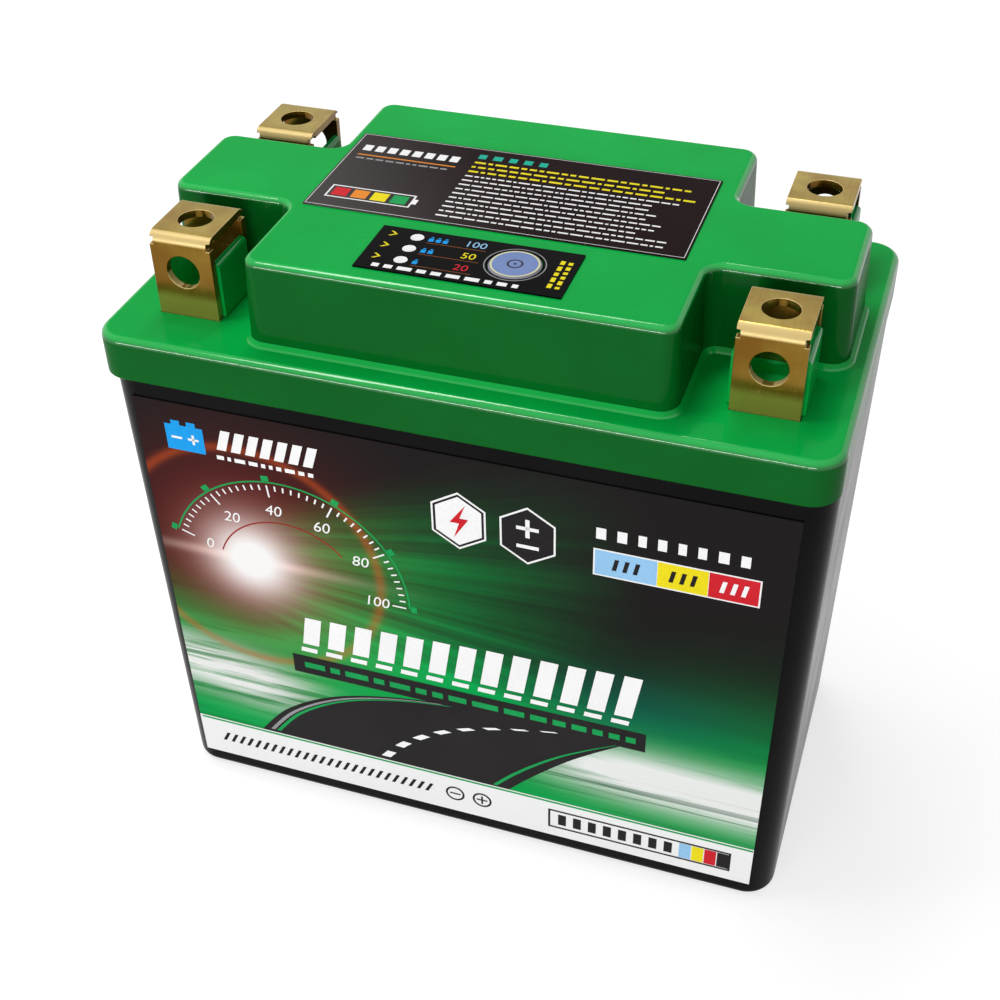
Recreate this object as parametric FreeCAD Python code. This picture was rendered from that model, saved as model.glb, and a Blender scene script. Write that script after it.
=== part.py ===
import FreeCAD, Part
import math
import os

V = FreeCAD.Vector
os.makedirs("parts", exist_ok=True)

# A twelve-volt lithium motorcycle battery with four brass terminals.
# Millimetres, origin under the middle of the base, X along the label side,
# the label faces -Y, Z up.

# ---- outer sizes ----
cover_length = 134.0
cover_width = 75.0
cover_bottom = 104.5
flange_height = 9.0
block_height = 16.5
flange_corner = 5.5
flange_top_round = 1.6
flange_foot_chamfer = 0.4

# ---- central block and its two arms ----
front_ledge = 5.9
back_ledge = 1.9
end_ledge = 4.3
block_half_length = 38.2
arm_to_bracket = 3.4
block_draft = 0.6
block_corner = 3.0
block_inner_corner = 3.2
block_top_round = 1.4
block_foot_chamfer = 0.9
block_root = 0.5

# ---- cover wall ----
cover_wall = 2.4
cover_inner_corner = 3.6
roof_thickness = 2.6
slab_thickness = 2.6
tongue_depth = 3.0
tongue_wall = 1.6
tongue_root_height = 1.5
tongue_clearance = 0.15

# ---- case ----
case_end_step = 0.25
case_side_step = 2.0
case_end_taper = 1.5
case_side_taper = 1.0
case_corner = 6.0
case_foot_round = 2.0
case_wall = 2.2
case_floor = 2.5
case_inner_corner = 3.6
seal_width = 0.9
seal_height = 0.7

# ---- terminal brackets ----
terminal_from_end = 14.7
terminal_from_face = 11.8
terminal_below_roof = 0.3
strip_thickness = 1.5
strip_width = 11.8
bracket_depth = 14.0
bend_radius = 2.0
terminal_hole = 6.4
outer_hole_drop = 7.2
notch_depth = 0.7
notch_length = 1.3
notch_drop = 0.25
leg_below_slab = 3.4
leg_slot_clearance = 0.1

# ---- nut seats moulded between the legs ----
seat_width = 13.0
seat_rise = 10.8
seat_round = 0.9
nut_width = 10.4
nut_floor_rise = 0.7
nut_stop_rise = 2.8
nut_stop_depth = 1.0
seat_clearance = 0.12

# ---- labels ----
label_gap = 0.02
front_label_thickness = 0.25
front_label_top_margin = 4.95
front_label_foot_margin = 4.25
front_label_low = 4.4
front_label_below_cover = 4.4
top_label_thickness = 0.25
top_label_left = -36.0
top_label_right = 34.3
top_label_from_front = 21.8
top_label_depth = 29.9
overlay_thickness = 0.3
overlay_left = -18.7
overlay_right = 17.9
overlay_from_front = 3.6
overlay_depth = 14.6

# ---- lamps and test button ----
lamp_x = -11.6
lamp_from_front = 11.8
lamp_pitch = 4.0
lamp_diameter = 2.4
lamp_clearance = 0.1
lamp_below_overlay = 0.1
button_x = 7.5
button_from_front = 11.6
button_radius = 4.6
button_gap = 0.3
button_cap = 1.2
button_proud = 0.2
button_travel = 0.5
button_edge = 0.25
stem_radius = 2.2
stem_gap = 0.35
catch_radius = 3.4
catch_height = 0.8
catch_gap = 0.3
switch_tip_radius = 1.6
switch_tip_gap = 0.3
switch_tip_reach = 0.5

# ---- indicator board ----
indicator_drop = 7.6
board_thickness = 1.6
indicator_half_length = 19.0
indicator_depth = 15.5
indicator_from_wall = 1.7
post_side = 4.2
post_inset = 2.5
stud_side = 1.6
stud_gap = 0.15
stud_end = 0.8
chip_height = 1.2
driver_length = 6.0
driver_width = 5.0
resistor_length = 3.2
resistor_width = 1.6
resistor_gap = 1.5
socket_length = 3.0
socket_from_end = 3.5
switch_side = 7.0
switch_height = 3.6
switch_bore_depth = 1.9

# ---- cells ----
tray_end_gap = 2.0
tray_side_gap = 1.3
tray_wall = 1.5
tray_height = 10.0
cell_count = 4
cell_side_gap = 0.5
cell_height = 82.0
foam_thickness = 7.3
cell_edge = 2.0
separator = 0.8
tab_side = 9.0
tab_height = 5.0
tab_inset = 11.0
foam_height = 72.0
clamp_thickness = 3.0
clamp_overhang = 1.5
clamp_hole_gap = 0.4
link_thickness = 1.2
link_width = 8.0

# ---- bus bars and straps ----
bar_thickness = 1.5
strap_thickness = 1.2
strap_width = 8.0
strap_web_inset = 4.8
strap_foot_reach = 9.5
strap_bend = 2.0

# ---- balance board ----
pillar_side = 5.0
pillar_height = 8.4
balance_length = 68.0
balance_width = 42.0
pillar_end_inset = 4.0
pillar_side_inset = 13.0
shunt_length = 6.4
shunt_width = 3.2
shunt_height = 1.2
shunt_edge = 4.0
controller_side = 10.0
controller_height = 1.6
plug_length = 6.0
plug_width = 8.0
plug_height = 2.4
plug_from_end = 12.0

# ---- flat lead between the boards ----
lead_thickness = 0.8
lead_width = 6.0
lead_x = 11.0
lead_start_y = 6.0
lead_from_back = 4.0
lead_level = 108.5
lead_bend_share = 0.45

# ---- heights that follow ----
flange_top = cover_bottom + flange_height
roof_top = flange_top + block_height
roof_under = roof_top - roof_thickness
slab_under = flange_top - slab_thickness
block_front = front_ledge - cover_width / 2
block_back = cover_width / 2 - back_ledge
block_middle = (block_front + block_back) / 2
arm_half_length = cover_length / 2 - end_ledge
terminal_x = cover_length / 2 - terminal_from_end
terminal_top = roof_top - terminal_below_roof
seat_y = block_front + terminal_from_face
arm_half_depth = block_middle - seat_y - bracket_depth / 2 - arm_to_bracket
case_top_length = cover_length - 2 * case_end_step
case_top_width = cover_width - 2 * case_side_step
case_foot_length = case_top_length - 2 * case_end_taper
case_foot_width = case_top_width - 2 * case_side_taper
case_mouth_length = case_top_length - 2 * case_wall
case_mouth_width = case_top_width - 2 * case_wall
front_label_high = cover_bottom - front_label_below_cover
front_label_half_top = case_top_length / 2 - front_label_top_margin
front_label_half_foot = case_foot_length / 2 - front_label_foot_margin
top_label_front = block_front + top_label_from_front
top_label_back = top_label_front + top_label_depth
overlay_front = block_front + overlay_from_front
overlay_back = overlay_front + overlay_depth
lamp_y = block_front + lamp_from_front
button_y = block_front + button_from_front
indicator_front = block_front + cover_wall + indicator_from_wall
indicator_back = indicator_front + indicator_depth
indicator_left = -indicator_half_length
indicator_right = indicator_half_length
leg_foot = slab_under - leg_below_slab
bar_under = leg_foot - bar_thickness
cell_foot = case_floor + tray_wall
cell_top = cell_foot + cell_height
tab_top = cell_top + tab_height
floor_share = case_floor / cover_bottom
case_floor_length = case_foot_length + 2 * case_end_taper * floor_share - 2 * case_wall
case_floor_width = case_foot_width + 2 * case_side_taper * floor_share - 2 * case_wall
tray_length = case_floor_length - 2 * tray_end_gap
tray_width = case_floor_width - 2 * tray_side_gap
tray_room_length = tray_length - 2 * tray_wall
tray_room_width = tray_width - 2 * tray_wall
cell_width = tray_room_width - 2 * cell_side_gap
cell_thickness = (tray_room_length - 2 * foam_thickness - (cell_count - 1) * separator) / cell_count
cell_step = cell_thickness + separator
tab_offset = cell_width / 2 - tab_inset
strap_web_x = terminal_x - strap_web_inset
lead_end_y = indicator_back - lead_from_back
clamp_top = cell_top + clamp_thickness
balance_under = clamp_top + pillar_height
balance_top = balance_under + board_thickness
indicator_top = roof_under - indicator_drop
indicator_under = indicator_top - board_thickness


def save(shape, node):
    shape.exportStep("parts/" + node + ".step")
    print(node, "solids", len(shape.Solids), "volume", round(shape.Volume, 2), "valid", shape.isValid())


def box(x0, x1, y0, y1, z0, z1):
    return Part.makeBox(x1 - x0, y1 - y0, z1 - z0, V(x0, y0, z0))


def rod(x, y, z0, z1, radius):
    return Part.makeCylinder(radius, z1 - z0, V(x, y, z0))


def square(x, y, z0, z1, side):
    return box(x - side / 2, x + side / 2, y - side / 2, y + side / 2, z0, z1)


def outline(corners, z=0.0):
    # closed wire through corners given as (x, y, radius)
    joints = []
    count = len(corners)
    for i in range(count):
        x, y, radius = corners[i]
        here = V(x, y, z)
        if radius == 0:
            joints.append((here, None, here))
            continue
        before = V(corners[i - 1][0], corners[i - 1][1], z)
        after = V(corners[(i + 1) % count][0], corners[(i + 1) % count][1], z)
        back = (before - here).normalize()
        ahead = (after - here).normalize()
        half = back.getAngle(ahead) / 2
        reach = radius / math.tan(half)
        middle = (back + ahead).normalize()
        tip = here + middle * (radius / math.sin(half) - radius)
        joints.append((here + back * reach, tip, here + ahead * reach))
    edges = []
    for i in range(count):
        start, tip, end = joints[i]
        if tip is not None:
            edges.append(Part.Arc(start, tip, end).toShape())
        edges.append(Part.makeLine(end, joints[(i + 1) % count][0]))
    return Part.Wire(edges)


def rectangle(length, width, radius, x=0.0, y=0.0):
    a = length / 2
    b = width / 2
    return [(x - a, y - b, radius), (x + a, y - b, radius), (x + a, y + b, radius), (x - a, y + b, radius)]


def slab(corners, z0, z1):
    return Part.Face(outline(corners, z0)).extrude(V(0, 0, z1 - z0))


def cross(grow, corner, inner_corner):
    # the block with its two arms, seen from above, grown outward
    a = block_half_length + grow
    b = arm_half_length + grow
    front = block_front - grow
    back = block_back + grow
    near = block_middle - arm_half_depth - grow
    far = block_middle + arm_half_depth + grow
    r = corner
    s = inner_corner
    return [(-a, front, r), (a, front, r), (a, near, s), (b, near, r), (b, far, r), (a, far, s),
            (a, back, r), (-a, back, r), (-a, far, s), (-b, far, r), (-b, near, r), (-a, near, s)]


def level_edges(shape, z, test):
    found = []
    for edge in shape.Edges:
        bounds = edge.BoundBox
        if abs(bounds.ZMin - z) < 0.01 and abs(bounds.ZMax - z) < 0.01:
            if test(bounds.Center.x, bounds.Center.y, bounds):
                found.append(edge)
    return found


def joined(shapes):
    return shapes[0].fuse(shapes[1:]).removeSplitter()


def across_x(corners, x0, x1):
    # profile given as (y, z, radius), run along X
    solid = Part.Face(outline(corners)).extrude(V(0, 0, x1 - x0))
    solid.rotate(V(0, 0, 0), V(1, 1, 1), 120)
    solid.translate(V(x0, 0, 0))
    return solid


def across_y(corners, y0, y1):
    # profile given as (x, z, radius), run along Y
    solid = Part.Face(outline(corners)).extrude(V(0, 0, y1 - y0))
    solid.rotate(V(0, 0, 0), V(1, 0, 0), 90)
    solid.translate(V(0, y1, 0))
    return solid


def mirrored(shape):
    return shape.mirror(V(0, 0, 0), V(1, 0, 0))


def leaning(low_length, high_length, low_width, high_width, z0, z1, corner):
    # a tub whose four sides lean outward, with rounded upright edges
    a = low_length / 2
    b = high_length / 2
    long_way = across_y([(-a, z0, 0), (a, z0, 0), (b, z1, 0), (-b, z1, 0)], -high_width, high_width)
    a = low_width / 2
    b = high_width / 2
    short_way = across_x([(-a, z0, 0), (a, z0, 0), (b, z1, 0), (-b, z1, 0)], -high_length, high_length)
    solid = long_way.common(short_way)
    uprights = [edge for edge in solid.Edges if edge.BoundBox.ZLength > (z1 - z0) / 2]
    return solid.makeFillet(corner, uprights)


def turned(shape):
    # the same piece on the opposite corner
    copy = shape.copy()
    copy.rotate(V(0, block_middle, 0), V(0, 0, 1), 180)
    return copy


def at_four_corners(front_right):
    front_left = front_right.copy()
    front_left.translate(V(-2 * terminal_x, 0, 0))
    return {"front_right": front_right, "front_left": front_left,
            "rear_left": turned(front_right), "rear_right": turned(front_left)}


# ---- case: a tapered tub, open at the top ----
case_outer = leaning(case_foot_length, case_top_length, case_foot_width, case_top_width,
                     0.0, cover_bottom, case_corner)
case_outer = case_outer.makeFillet(case_foot_round, level_edges(case_outer, 0.0, lambda x, y, b: True))
case_hollow = leaning(case_floor_length, case_mouth_length, case_floor_width, case_mouth_width,
                      case_floor, cover_bottom, case_inner_corner)
case = case_outer.cut(case_hollow)
rim_length = case_top_length - case_wall
rim_width = case_top_width - case_wall
rim_corner = case_inner_corner + case_wall / 2
seal_outer = slab(rectangle(rim_length + seal_width, rim_width + seal_width, rim_corner + seal_width / 2),
                  cover_bottom - seal_height, cover_bottom)
seal_inner = slab(rectangle(rim_length - seal_width, rim_width - seal_width, rim_corner - seal_width / 2),
                  cover_bottom - seal_height, cover_bottom)
cover_seal = seal_outer.cut(seal_inner)
case = case.cut(cover_seal)
save(case, "case")
save(cover_seal, "cover_seal")

# ---- cover: edge slab with a rounded rim, block with its arms on top ----
flange = slab(rectangle(cover_length, cover_width, flange_corner), cover_bottom, flange_top)
flange = flange.makeFillet(flange_top_round, level_edges(flange, flange_top, lambda x, y, b: True))
flange = flange.makeChamfer(flange_foot_chamfer, level_edges(flange, cover_bottom, lambda x, y, b: True))


def block_layer(low, low_grow, high, high_grow):
    low_wire = outline(cross(low_grow, block_corner + low_grow, block_inner_corner - low_grow), low)
    high_wire = outline(cross(high_grow, block_corner + high_grow, block_inner_corner - high_grow), high)
    return Part.makeLoft([low_wire, high_wire], True, True)


block = block_layer(flange_top, block_draft, roof_top, 0.0)
block = block.makeFillet(block_top_round, level_edges(block, roof_top, lambda x, y, b: True))
root = block_layer(flange_top - block_root, block_draft, flange_top, block_draft)
foot = block_layer(flange_top, block_draft + block_foot_chamfer, flange_top + block_foot_chamfer, block_draft)
flat_back = cover_width / 2 - flange_top_round
foot = foot.common(box(-cover_length, cover_length, -cover_width, flat_back, flange_top, roof_top))
cover = joined([flange, root, block, foot])

# nut seats, open towards the outer leg and upwards
leg_room = bracket_depth - 2 * strip_thickness
seat_front = seat_y - leg_room / 2 + seat_clearance
seat_back = seat_y + leg_room / 2 - seat_clearance
seat_left = terminal_x - seat_width / 2
seat_right = terminal_x + seat_width / 2
seat_top = flange_top + seat_rise
seat = box(seat_left, seat_right, seat_front, seat_back, flange_top - 0.5, seat_top)
seat = seat.makeFillet(seat_round, level_edges(seat, seat_top, lambda x, y, b: abs(x - terminal_x) > 1))
nut_left = terminal_x - nut_width / 2
nut_right = terminal_x + nut_width / 2
nut_floor = flange_top + nut_floor_rise
stop_face = seat_back - nut_stop_depth
nut_room = box(nut_left, nut_right, seat_front, stop_face, nut_floor, seat_top)
nut_room = nut_room.fuse(box(nut_left, nut_right, stop_face, seat_back, flange_top + nut_stop_rise, seat_top))
seat = seat.cut(nut_room)
for corner in at_four_corners(seat).values():
    cover = cover.fuse(corner)

# hollows under the roof, under the arms and under the slab
cavity = slab(rectangle(cover_length - 2 * cover_wall, cover_width - 2 * cover_wall, cover_inner_corner),
              cover_bottom, slab_under)
cavity = cavity.fuse(slab(cross(-cover_wall, 0, 0), slab_under - 1.0, roof_under))
cover = cover.cut(cavity)
tongue_length = case_mouth_length - 2 * tongue_clearance
tongue_width = case_mouth_width - 2 * tongue_clearance
tongue_corner = case_inner_corner - tongue_clearance
tongue_low = cover_bottom - tongue_depth
tongue_root = cover_bottom + tongue_root_height
tongue_taper = case_end_taper * tongue_depth / cover_bottom
tongue = slab(rectangle(tongue_length - 2 * tongue_taper, tongue_width - 2 * tongue_taper, tongue_corner),
              tongue_low, cover_bottom)
tongue = tongue.fuse(slab(rectangle(cover_length - 2 * cover_wall, cover_width - 2 * cover_wall,
                                    cover_inner_corner), cover_bottom, tongue_root))
tongue = tongue.cut(slab(rectangle(tongue_length - 2 * tongue_wall, tongue_width - 2 * tongue_wall,
                                   tongue_corner - tongue_wall), tongue_low, tongue_root))
cover = cover.fuse(tongue)

# slots for the eight legs
slot_half = strip_width / 2 + leg_slot_clearance
slots = []
for leg_y in (-1, 1):
    middle = seat_y + leg_y * (bracket_depth - strip_thickness) / 2
    reach = strip_thickness / 2 + leg_slot_clearance
    slots.append(box(terminal_x - slot_half, terminal_x + slot_half, middle - reach, middle + reach,
                     cover_bottom, seat_top))
leg_slots = slots[0].fuse(slots[1])
for corner in at_four_corners(leg_slots).values():
    cover = cover.cut(corner)

# posts that carry the indicator board, lamp holes and the button well
board_x = (indicator_left + post_inset, indicator_right - post_inset)
board_y = (indicator_front + post_inset, indicator_back - post_inset)
post_places = [(x, y) for x in board_x for y in board_y]
for x, y in post_places:
    cover = cover.fuse(square(x, y, indicator_top, roof_under + 0.5, post_side))
    cover = cover.fuse(square(x, y, indicator_under - stud_end, indicator_top, stud_side))
lamp_places = [(lamp_x, lamp_y + i * lamp_pitch) for i in (1, 0, -1)]
for x, y in lamp_places:
    cover = cover.cut(rod(x, y, roof_under - 1, roof_top + 1, lamp_diameter / 2 + lamp_clearance))
overlay_top = roof_top + label_gap + overlay_thickness
button_top = overlay_top + button_proud
cap_under = button_top - button_cap
well_floor = cap_under - button_travel - button_gap
cover = cover.cut(rod(button_x, button_y, well_floor, roof_top + 1, button_radius + button_gap))
cover = cover.cut(rod(button_x, button_y, roof_under - 1, roof_top, stem_radius + stem_gap))
cover = cover.removeSplitter()
save(cover, "cover")

# ---- terminal bracket: one folded strip with two legs ----
y_out = seat_y - bracket_depth / 2
y_in = seat_y + bracket_depth / 2
t = strip_thickness
inner_bend = bend_radius - t
bracket = across_x([(y_out, leg_foot, 0), (y_out + t, leg_foot, 0), (y_out + t, terminal_top - t, inner_bend),
                    (y_in - t, terminal_top - t, inner_bend), (y_in - t, leg_foot, 0), (y_in, leg_foot, 0),
                    (y_in, terminal_top, bend_radius), (y_out, terminal_top, bend_radius)],
                   terminal_x - strip_width / 2, terminal_x + strip_width / 2)
hole_radius = terminal_hole / 2
bracket = bracket.cut(rod(terminal_x, seat_y, terminal_top - 2 * t, terminal_top + 1, hole_radius))
hole_level = terminal_top - outer_hole_drop
bracket = bracket.cut(Part.makeCylinder(hole_radius, 3 * t, V(terminal_x, y_out - t, hole_level), V(0, 1, 0)))
notch_low = terminal_top - bend_radius - notch_drop
for side in (-1, 1):
    edge_x = terminal_x + side * strip_width / 2
    for leg_y in (y_out + t / 2, y_in - t / 2):
        bracket = bracket.cut(box(edge_x - notch_depth, edge_x + notch_depth, leg_y - t, leg_y + t,
                                  notch_low, notch_low + notch_length))
for place, shape in at_four_corners(bracket).items():
    save(shape, "terminal_" + place)

# ---- labels ----
face_normal = V(0, -cover_bottom, -case_side_taper).normalize()


def on_label_face(x, z):
    y = -case_foot_width / 2 - case_side_taper * z / cover_bottom
    return V(x, y, z) + face_normal * label_gap


label_corners = [on_label_face(-front_label_half_foot, front_label_low),
                 on_label_face(front_label_half_foot, front_label_low),
                 on_label_face(front_label_half_top, front_label_high),
                 on_label_face(-front_label_half_top, front_label_high)]
front_label = Part.Face(Part.makePolygon(label_corners + [label_corners[0]]))
save(front_label.extrude(face_normal * front_label_thickness), "front_label")
label_low = roof_top + label_gap
save(box(top_label_left, top_label_right, top_label_front, top_label_back,
         label_low, label_low + top_label_thickness), "top_label")
overlay = box(overlay_left, overlay_right, overlay_front, overlay_back, label_low, overlay_top)
for x, y in lamp_places:
    overlay = overlay.cut(rod(x, y, roof_top, overlay_top + 1, lamp_diameter / 2 + lamp_clearance))
overlay = overlay.cut(rod(button_x, button_y, roof_top, overlay_top + 1, button_radius + button_gap))
save(overlay, "indicator_overlay")

# ---- test button: cap, stem, catch under the roof and tip in the switch ----
switch_top = indicator_top + switch_height
cap = rod(button_x, button_y, cap_under, button_top, button_radius)
cap = cap.makeChamfer(button_edge, level_edges(cap, button_top, lambda x, y, b: True))
catch_top = roof_under - catch_gap
catch_low = catch_top - catch_height
stem = rod(button_x, button_y, catch_low, cap_under + 0.2, stem_radius)
catch = rod(button_x, button_y, catch_low, catch_top, catch_radius)
tip = rod(button_x, button_y, switch_top - switch_tip_reach, catch_low + 0.2, switch_tip_radius)
save(joined([cap, stem, catch, tip]), "test_button")

# ---- lamps under their windows ----
for name, place in zip(("led_full", "led_medium", "led_low"), lamp_places):
    lamp = rod(place[0], place[1], indicator_top, overlay_top - lamp_below_overlay, lamp_diameter / 2)
    save(lamp, name)

# ---- indicator board, its switch and parts ----
board = box(indicator_left, indicator_right, indicator_front, indicator_back, indicator_under, indicator_top)
for x, y in post_places:
    board = board.cut(square(x, y, indicator_under, indicator_top, stud_side + 2 * stud_gap))
save(board, "indicator_board")
switch = square(button_x, button_y, indicator_top, switch_top, switch_side)
switch = switch.cut(rod(button_x, button_y, switch_top - switch_bore_depth, switch_top,
                        switch_tip_radius + switch_tip_gap))
save(switch, "switch_body")


def chip(x, y, length, width, low, height):
    return box(x - length / 2, x + length / 2, y - width / 2, y + width / 2, low, low + height)


driver_x = (lamp_x + button_x) / 2
row_step = driver_width / 2 + resistor_gap + resistor_width / 2
chips = [chip(driver_x, button_y, driver_length, driver_width, indicator_top, chip_height),
         chip(driver_x, button_y - row_step, resistor_length, resistor_width, indicator_top, chip_height),
         chip(driver_x, button_y + row_step, resistor_length, resistor_width, indicator_top, chip_height),
         chip(indicator_right - socket_from_end, button_y, socket_length, driver_width, indicator_top, chip_height)]
save(Part.makeCompound(chips), "indicator_parts")

# ---- cell tray, cells with their welding tabs, separators and foam ----
tray = box(-tray_length / 2, tray_length / 2, -tray_width / 2, tray_width / 2,
           case_floor, case_floor + tray_height)
tray = tray.cut(box(-tray_room_length / 2, tray_room_length / 2, -tray_room_width / 2, tray_room_width / 2,
                    cell_foot, case_floor + tray_height))
save(tray, "cell_tray")
cell_places = [(i - (cell_count - 1) / 2) * cell_step for i in range(cell_count)]
for i, x in enumerate(cell_places):
    cell = slab(rectangle(cell_thickness, cell_width, cell_edge, x), cell_foot, cell_top)
    for side in (-1, 1):
        cell = cell.fuse(square(x, side * tab_offset, cell_top, tab_top, tab_side))
    save(cell, "cell_" + str(i + 1))
sheets = []
for x in cell_places[:-1]:
    start = x + cell_thickness / 2
    sheets.append(box(start, start + separator, -cell_width / 2 + cell_edge, cell_width / 2 - cell_edge,
                      cell_foot, cell_top - cell_edge))
save(Part.makeCompound(sheets), "cell_separators")
stack_half = (cell_count * cell_thickness + (cell_count - 1) * separator) / 2
foam = box(stack_half, tray_room_length / 2, -cell_width / 2, cell_width / 2, cell_foot, cell_foot + foam_height)
save(foam, "foam_right")
save(mirrored(foam), "foam_left")

# ---- clamp plate over the cells ----
clamp_length = 2 * (stack_half + clamp_overhang)
clamp_width = cell_width + 2 * clamp_overhang
clamp = box(-clamp_length / 2, clamp_length / 2, -clamp_width / 2, clamp_width / 2,
            cell_top - clamp_thickness, clamp_top)
clamp = clamp.cut(box(-stack_half, stack_half, -cell_width / 2, cell_width / 2,
                      cell_top - clamp_thickness, cell_top))
for x in cell_places:
    for side in (-1, 1):
        clamp = clamp.cut(square(x, side * tab_offset, cell_top, clamp_top, tab_side + 2 * clamp_hole_gap))
save(clamp, "cell_clamp")

# ---- links welded across neighbouring tabs ----
link_top = tab_top + link_thickness
for i in range(cell_count - 1):
    y = tab_offset if i % 2 == 0 else -tab_offset
    link = box(cell_places[i] - tab_side / 2, cell_places[i + 1] + tab_side / 2,
               y - link_width / 2, y + link_width / 2, tab_top, link_top)
    save(link, "cell_link_" + str(i + 1))

# ---- bars under the brackets, straps down to the end cells ----
bar = box(terminal_x - strip_width / 2, terminal_x + strip_width / 2, y_out, 2 * block_middle - y_out,
          bar_under, leg_foot)
save(bar, "positive_bar")
save(mirrored(bar), "negative_bar")
strap_start = cell_places[-1] - tab_side / 2
w = strap_web_x
s = strap_thickness
strap = across_y([(strap_start, tab_top, 0), (w + s, tab_top, strap_bend), (w + s, bar_under - s, strap_bend - s),
                  (w + strap_foot_reach, bar_under - s, 0), (w + strap_foot_reach, bar_under, 0),
                  (w, bar_under, strap_bend), (w, tab_top + s, strap_bend - s), (strap_start, tab_top + s, 0)],
                 -tab_offset - strap_width / 2, -tab_offset + strap_width / 2)
save(strap, "positive_strap")
save(mirrored(strap), "negative_strap")

# ---- balance board on its pillars ----
pillars = []
balance = box(-balance_length / 2, balance_length / 2, -balance_width / 2, balance_width / 2,
              balance_under, balance_top)
pillar_x = balance_length / 2 - pillar_end_inset
pillar_y = balance_width / 2 - pillar_side_inset
for x in (-pillar_x, pillar_x):
    for y in (-pillar_y, pillar_y):
        pillar = square(x, y, clamp_top, balance_under, pillar_side)
        pillars.append(pillar.fuse(square(x, y, balance_under, balance_top + stud_end, stud_side)))
        balance = balance.cut(square(x, y, balance_under, balance_top, stud_side + 2 * stud_gap))
save(Part.makeCompound(pillars), "board_pillars")
save(balance, "balance_board")
chips = [chip(0, 0, controller_side, controller_side, balance_top, controller_height),
         chip(plug_from_end - balance_length / 2, 0, plug_length, plug_width, balance_top, plug_height)]
shunt_step = balance_length / cell_count
shunt_y = balance_width / 2 - shunt_edge - shunt_width / 2
for i in range(cell_count):
    x = (i - (cell_count - 1) / 2) * shunt_step
    chips.append(chip(x, -shunt_y, shunt_length, shunt_width, balance_top, shunt_height))
    chips.append(chip(x, shunt_y, shunt_length, shunt_width, balance_top, shunt_height))
save(Part.makeCompound(chips), "balance_parts")

# ---- flat lead between the two boards, straight runs joined by tangent bends ----
first_bend = lead_bend_share * min(lead_level - balance_top, lead_start_y - lead_end_y)
second_bend = lead_bend_share * min(indicator_under - lead_level, lead_start_y - lead_end_y)
print("lead bend radii", round(first_bend, 2), round(second_bend, 2))
h = lead_thickness / 2
lead = across_x([(lead_start_y + h, balance_top, 0), (lead_start_y + h, lead_level + h, first_bend + h),
                 (lead_end_y + h, lead_level + h, second_bend - h), (lead_end_y + h, indicator_under, 0),
                 (lead_end_y - h, indicator_under, 0), (lead_end_y - h, lead_level - h, second_bend + h),
                 (lead_start_y - h, lead_level - h, first_bend - h), (lead_start_y - h, balance_top, 0)],
                lead_x - lead_width / 2, lead_x + lead_width / 2)
save(lead, "indicator_lead")
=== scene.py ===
import bpy, bmesh, math
from mathutils import Matrix, Vector


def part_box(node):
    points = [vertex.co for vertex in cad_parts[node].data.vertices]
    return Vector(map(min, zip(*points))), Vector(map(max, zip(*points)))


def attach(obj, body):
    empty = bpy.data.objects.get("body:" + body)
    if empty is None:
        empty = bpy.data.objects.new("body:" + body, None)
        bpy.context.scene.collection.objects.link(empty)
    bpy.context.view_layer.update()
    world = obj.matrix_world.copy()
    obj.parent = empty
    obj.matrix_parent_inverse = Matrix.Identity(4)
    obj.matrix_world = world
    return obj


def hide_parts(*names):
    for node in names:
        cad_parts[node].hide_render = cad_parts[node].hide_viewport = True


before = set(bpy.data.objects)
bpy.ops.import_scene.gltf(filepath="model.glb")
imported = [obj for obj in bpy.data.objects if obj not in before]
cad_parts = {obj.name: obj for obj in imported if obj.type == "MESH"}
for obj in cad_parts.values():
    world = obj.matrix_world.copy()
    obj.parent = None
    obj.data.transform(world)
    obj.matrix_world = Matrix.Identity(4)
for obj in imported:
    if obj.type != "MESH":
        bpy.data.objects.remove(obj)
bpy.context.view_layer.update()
mm = 0.001


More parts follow.
